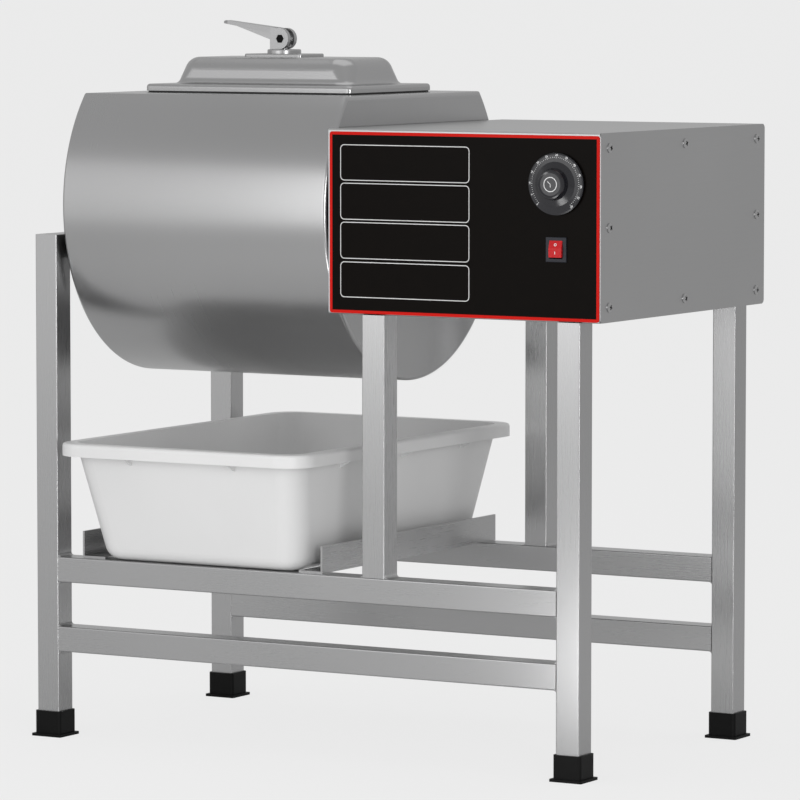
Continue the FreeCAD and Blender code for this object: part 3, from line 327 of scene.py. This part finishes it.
# dial: minute ticks and numbers on the skirt, ring and pointer on the cap
dialLook = {"tickRadius": 0.0378, "tickLong": 0.0022, "tickShort": 0.0013, "tickWidth": 0.0005,
            "numberRadius": 0.0409, "numberHeight": 0.0042, "first": 225.0, "last": -50.0,
            "minutes": 60, "numbered": 5, "ringRadius": 0.0101, "ringWidth": 0.0011,
            "handWidth": 0.0009, "hands": ((-45, 0.0062), (180, 0.0042))}


def makeDialMarks():
    look = dialLook
    low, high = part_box("timer_knob")
    centreX, centreZ = (low.x + high.x) / 2, (low.z + high.z) / 2
    skin = skinOf("timer_knob")
    mesh = bmesh.new()

    def onDial(degrees, radius):
        angle = math.radians(degrees)
        seat = seatOn(skin, centreX + radius * math.cos(angle), centreZ + radius * math.sin(angle))
        return seat @ Matrix.Rotation(math.pi / 2 - angle, 4, "Y")

    for minute in range(look["minutes"] + 1):
        degrees = look["first"] + (look["last"] - look["first"]) * minute / look["minutes"]
        length = look["tickShort"] if minute % look["numbered"] else look["tickLong"]
        addBar(mesh, look["tickWidth"], length, onDial(degrees, look["tickRadius"]))
        if minute % look["numbered"] == 0:
            addText(mesh, str(minute), look["numberHeight"], onDial(degrees, look["numberRadius"]))
    cap = seatOn(skin, centreX, centreZ)
    addRing(mesh, look["ringRadius"], look["ringWidth"], cap)
    for degrees, length in look["hands"]:
        turn = Matrix.Rotation(math.radians(degrees), 4, "Y")
        outward = Matrix.Translation((0, 0, length / 2))
        addBar(mesh, look["handWidth"], length, cap @ turn @ outward)
    finishPiece("dialMarks", mesh, markWhite, "knob")


# rocker: a ring at its top and a bar at its bottom
rockerLook = {"ringRadius": 0.0017, "ringWidth": 0.0008, "ringSteps": 24, "ringDown": 0.0058,
              "barWidth": 0.0009, "barHeight": 0.0040, "barUp": 0.0066}


def makeRockerMarks():
    look = rockerLook
    low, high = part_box("switch_rocker")
    middle = (low.x + high.x) / 2
    skin = skinOf("switch_rocker")
    mesh = bmesh.new()
    ringSeat = seatOn(skin, middle, high.z - look["ringDown"])
    addRing(mesh, look["ringRadius"], look["ringWidth"], ringSeat, look["ringSteps"])
    addBar(mesh, look["barWidth"], look["barHeight"], seatOn(skin, middle, low.z + look["barUp"]))
    finishPiece("rockerMarks", mesh, markWhite, "rocker")


makeDialMarks()
makeRockerMarks()
print("dial and switch marked")


# weld fillets in the corners between rails, legs and posts
weldLook = {"reach": 0.0052, "steps": 5, "inset": 0.0020}


def addFillet(mesh, x, z, wayX, wayZ, front, back):
    reach = weldLook["reach"]
    first = mesh.verts.new((reach, 0, 0))
    bmesh.ops.spin(mesh, geom=[first], cent=(reach, 0, reach), axis=(0, 1, 0), dvec=(0, 0, 0),
                   angle=math.pi / 2, steps=weldLook["steps"])
    chain = [first]
    while True:
        onward = [edge.other_vert(chain[-1]) for edge in chain[-1].link_edges]
        onward = [vert for vert in onward if vert not in chain]
        if not onward:
            break
        chain.append(onward[0])
    chain.append(mesh.verts.new((0, 0, 0)))
    side = mesh.faces.new(chain)
    grown = bmesh.ops.extrude_face_region(mesh, geom=[side])["geom"]
    grown = [part for part in grown if isinstance(part, bmesh.types.BMVert)]
    bmesh.ops.translate(mesh, verts=grown, vec=(0, back - front, 0))
    bmesh.ops.transform(mesh, verts=chain + grown, matrix=Matrix.Translation((x, front, z))
                        @ Matrix.Diagonal((wayX, 1, wayZ, 1)))


def makeWelds():
    for side in ("front", "back"):
        mesh = bmesh.new()
        for rail in ("lower_rail", "upper_rail"):
            low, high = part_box(side + "_" + rail)
            front, back = low.y + weldLook["inset"], high.y - weldLook["inset"]
            for x, wayX in ((low.x, 1), (high.x, -1)):
                addFillet(mesh, x, high.z, wayX, 1, front, back)
                addFillet(mesh, x, low.z, wayX, -1, front, back)
        low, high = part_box(side + "_middle_post")
        for x, wayX in ((low.x, -1), (high.x, 1)):
            addFillet(mesh, x, low.z, wayX, 1, front, back)
        finishPiece(side + "Welds", mesh, tubeAcross, "frame")


makeWelds()
print("welds laid")


# cross recesses of the cover screws, drawn as near-black crosses standing on the heads as painted shade
# of the recess; each screw turned on from the one before
screwLook = {"recess": 0.0074, "slot": 0.0016, "firstTurn": 20, "nextTurn": 37, "merge": 0.00001}


# the middle of every separate screw in the node that holds them all
def screwMiddles():
    shell = bmesh.new()
    shell.from_mesh(nodes["cover_screws"].data)
    bmesh.ops.remove_doubles(shell, verts=shell.verts, dist=screwLook["merge"])
    heads, seen = [], set()
    for vert in shell.verts:
        if vert in seen:
            continue
        island, todo = [], [vert]
        seen.add(vert)
        while todo:
            here = todo.pop()
            island.append(here.co.copy())
            for edge in here.link_edges:
                there = edge.other_vert(here)
                if there not in seen:
                    seen.add(there)
                    todo.append(there)
        heads.append(sum(island, Vector()) / len(island))
    shell.free()
    return heads


def makeScrewDetails():
    look = screwLook
    _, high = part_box("cover_screws")
    mesh = bmesh.new()
    for number, head in enumerate(screwMiddles()):
        place = Matrix.Translation((high.x, head.y, head.z)) @ Matrix.Rotation(math.pi / 2, 4, "Z")
        turned = math.radians(look["firstTurn"] + look["nextTurn"] * number)
        place = place @ Matrix.Rotation(turned, 4, "Y")
        for turn in (0, math.pi / 2):
            addBar(mesh, look["slot"], look["recess"], place @ Matrix.Rotation(turn, 4, "Y"))
    finishPiece("screwRecesses", mesh, recessShade, "frame")


makeScrewDetails()

# painted shade: a dark hex sheet inside the clamp pin's socket
socketLook = {"acrossFlats": 0.0119, "depth": 0.0006}


def makeSocketShade():
    low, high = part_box("clamp_rod")
    pivotZ = next(joint["pos_m"][2] for joint in frame["joints"] if joint["name"] == "lever_cam")
    mesh = bmesh.new()
    radius = socketLook["acrossFlats"] / math.sqrt(3)
    turn = Matrix.Rotation(math.pi / 2, 4, "X") @ Matrix.Rotation(math.pi / 6, 4, "Z")
    place = Matrix.Translation(((low.x + high.x) / 2, low.y + socketLook["depth"], pivotZ))
    bmesh.ops.create_circle(mesh, cap_ends=True, radius=radius, segments=6, matrix=place @ turn)
    finishPiece("socketShade", mesh, recessShade, "lid")


makeSocketShade()
print("screws and socket detailed")


# floor that shows pale to the camera and still takes shadows
def stageFinish(name, look):
    finish = Finish(name)
    path = finish.tree.nodes.new("ShaderNodeLightPath")
    seen = Wire(finish.tree, path.outputs["Is Camera Ray"]) * look["cameraShare"]
    for ray in ("Is Glossy Ray", "Is Transmission Ray"):
        seen = seen + Wire(finish.tree, path.outputs[ray]) * look["mirrorShare"]
    plain = finish.tree.nodes.new("ShaderNodeEmission")
    plain.inputs[0].default_value = grey(look["shown"])
    matt = finish.tree.nodes.new("ShaderNodeBsdfDiffuse")
    matt.inputs[0].default_value = grey(look["tone"])
    blend = finish.tree.nodes.new("ShaderNodeMixShader")
    plug(blend.inputs[0], seen)
    finish.tree.links.new(matt.outputs[0], blend.inputs[1])
    finish.tree.links.new(plain.outputs[0], blend.inputs[2])
    finish.tree.links.new(blend.outputs[0], finish.output.inputs[0])
    return finish.material


stageLook = {"floorReach": 900.0, "shown": 0.88, "tone": 0.78, "cameraShare": 0.88,
             "mirrorShare": 0.12, "worldGrey": 0.57}
mesh = bmesh.new()
bmesh.ops.create_grid(mesh, x_segments=1, y_segments=1, size=stageLook["floorReach"])
floorMesh = bpy.data.meshes.new("floor")
mesh.to_mesh(floorMesh)
mesh.free()
floor = bpy.data.objects.new("floor", floorMesh)
bpy.context.scene.collection.objects.link(floor)
floorMesh.materials.append(stageFinish("floorPaper", stageLook))

# glow is the brightness of the lamp's own face
lampLook = {
    "wall": {"place": (-2.6, -3.6, 1.30), "aim": (0.0, 0.0, 1.0), "size": (4.6, 2.5), "glow": 0.42},
    "front": {"place": (-0.42, -2.15, 0.98), "aim": (0.4, -0.2, 0.60), "size": (1.3, 1.1), "glow": 1.15},
    "side": {"place": (3.75, -4.1, 1.15), "aim": (0.0, 0.0, 0.5), "size": (0.9, 2.2), "glow": 11.0},
    "low": {"place": (0.25, -1.10, 0.02), "aim": (0.35, -0.6, 0.8), "size": (0.4, 0.4), "glow": 6.0},
    "above": {"place": (0.0, 0.4, 4.4), "aim": (0.0, 0.0, 0.8), "size": (4.0, 3.4), "glow": 0.45}}

for name, look in lampLook.items():
    light = bpy.data.lights.new(name, "AREA")
    light.shape = "RECTANGLE"
    light.size, light.size_y = look["size"]
    light.energy = look["glow"] * math.pi * light.size * light.size_y
    lamp = bpy.data.objects.new(name, light)
    lamp.location = look["place"]
    way = Vector(look["aim"]) - Vector(look["place"])
    lamp.rotation_euler = way.to_track_quat("-Z", "Y").to_euler()
    bpy.context.scene.collection.objects.link(lamp)

world = bpy.data.worlds.new("studio")
bpy.context.scene.world = world
world.use_nodes = True
skyTree = world.node_tree
skyTree.nodes.clear()
sky = skyTree.nodes.new("ShaderNodeBackground")
sky.inputs[0].default_value = grey(stageLook["worldGrey"])
skyOut = skyTree.nodes.new("ShaderNodeOutputWorld")
skyTree.links.new(sky.outputs[0], skyOut.inputs[0])

cameraLook = {"place": (3.891538, -6.686851, 1.154763), "turn": 0.526763, "tip": -0.083321,
              "lens": 232.99, "sensor": 36.0, "farEnd": 2000.0}
eye = bpy.data.cameras.new("eye")
eye.lens = cameraLook["lens"]
eye.sensor_width = cameraLook["sensor"]
eye.clip_end = cameraLook["farEnd"]
camera = bpy.data.objects.new("eye", eye)
camera.location = cameraLook["place"]
camera.rotation_euler = (math.pi / 2 + cameraLook["tip"], 0.0, cameraLook["turn"])
bpy.context.scene.collection.objects.link(camera)
bpy.context.scene.camera = camera
bpy.context.scene.view_settings.view_transform = "Standard"
print("stage ready")
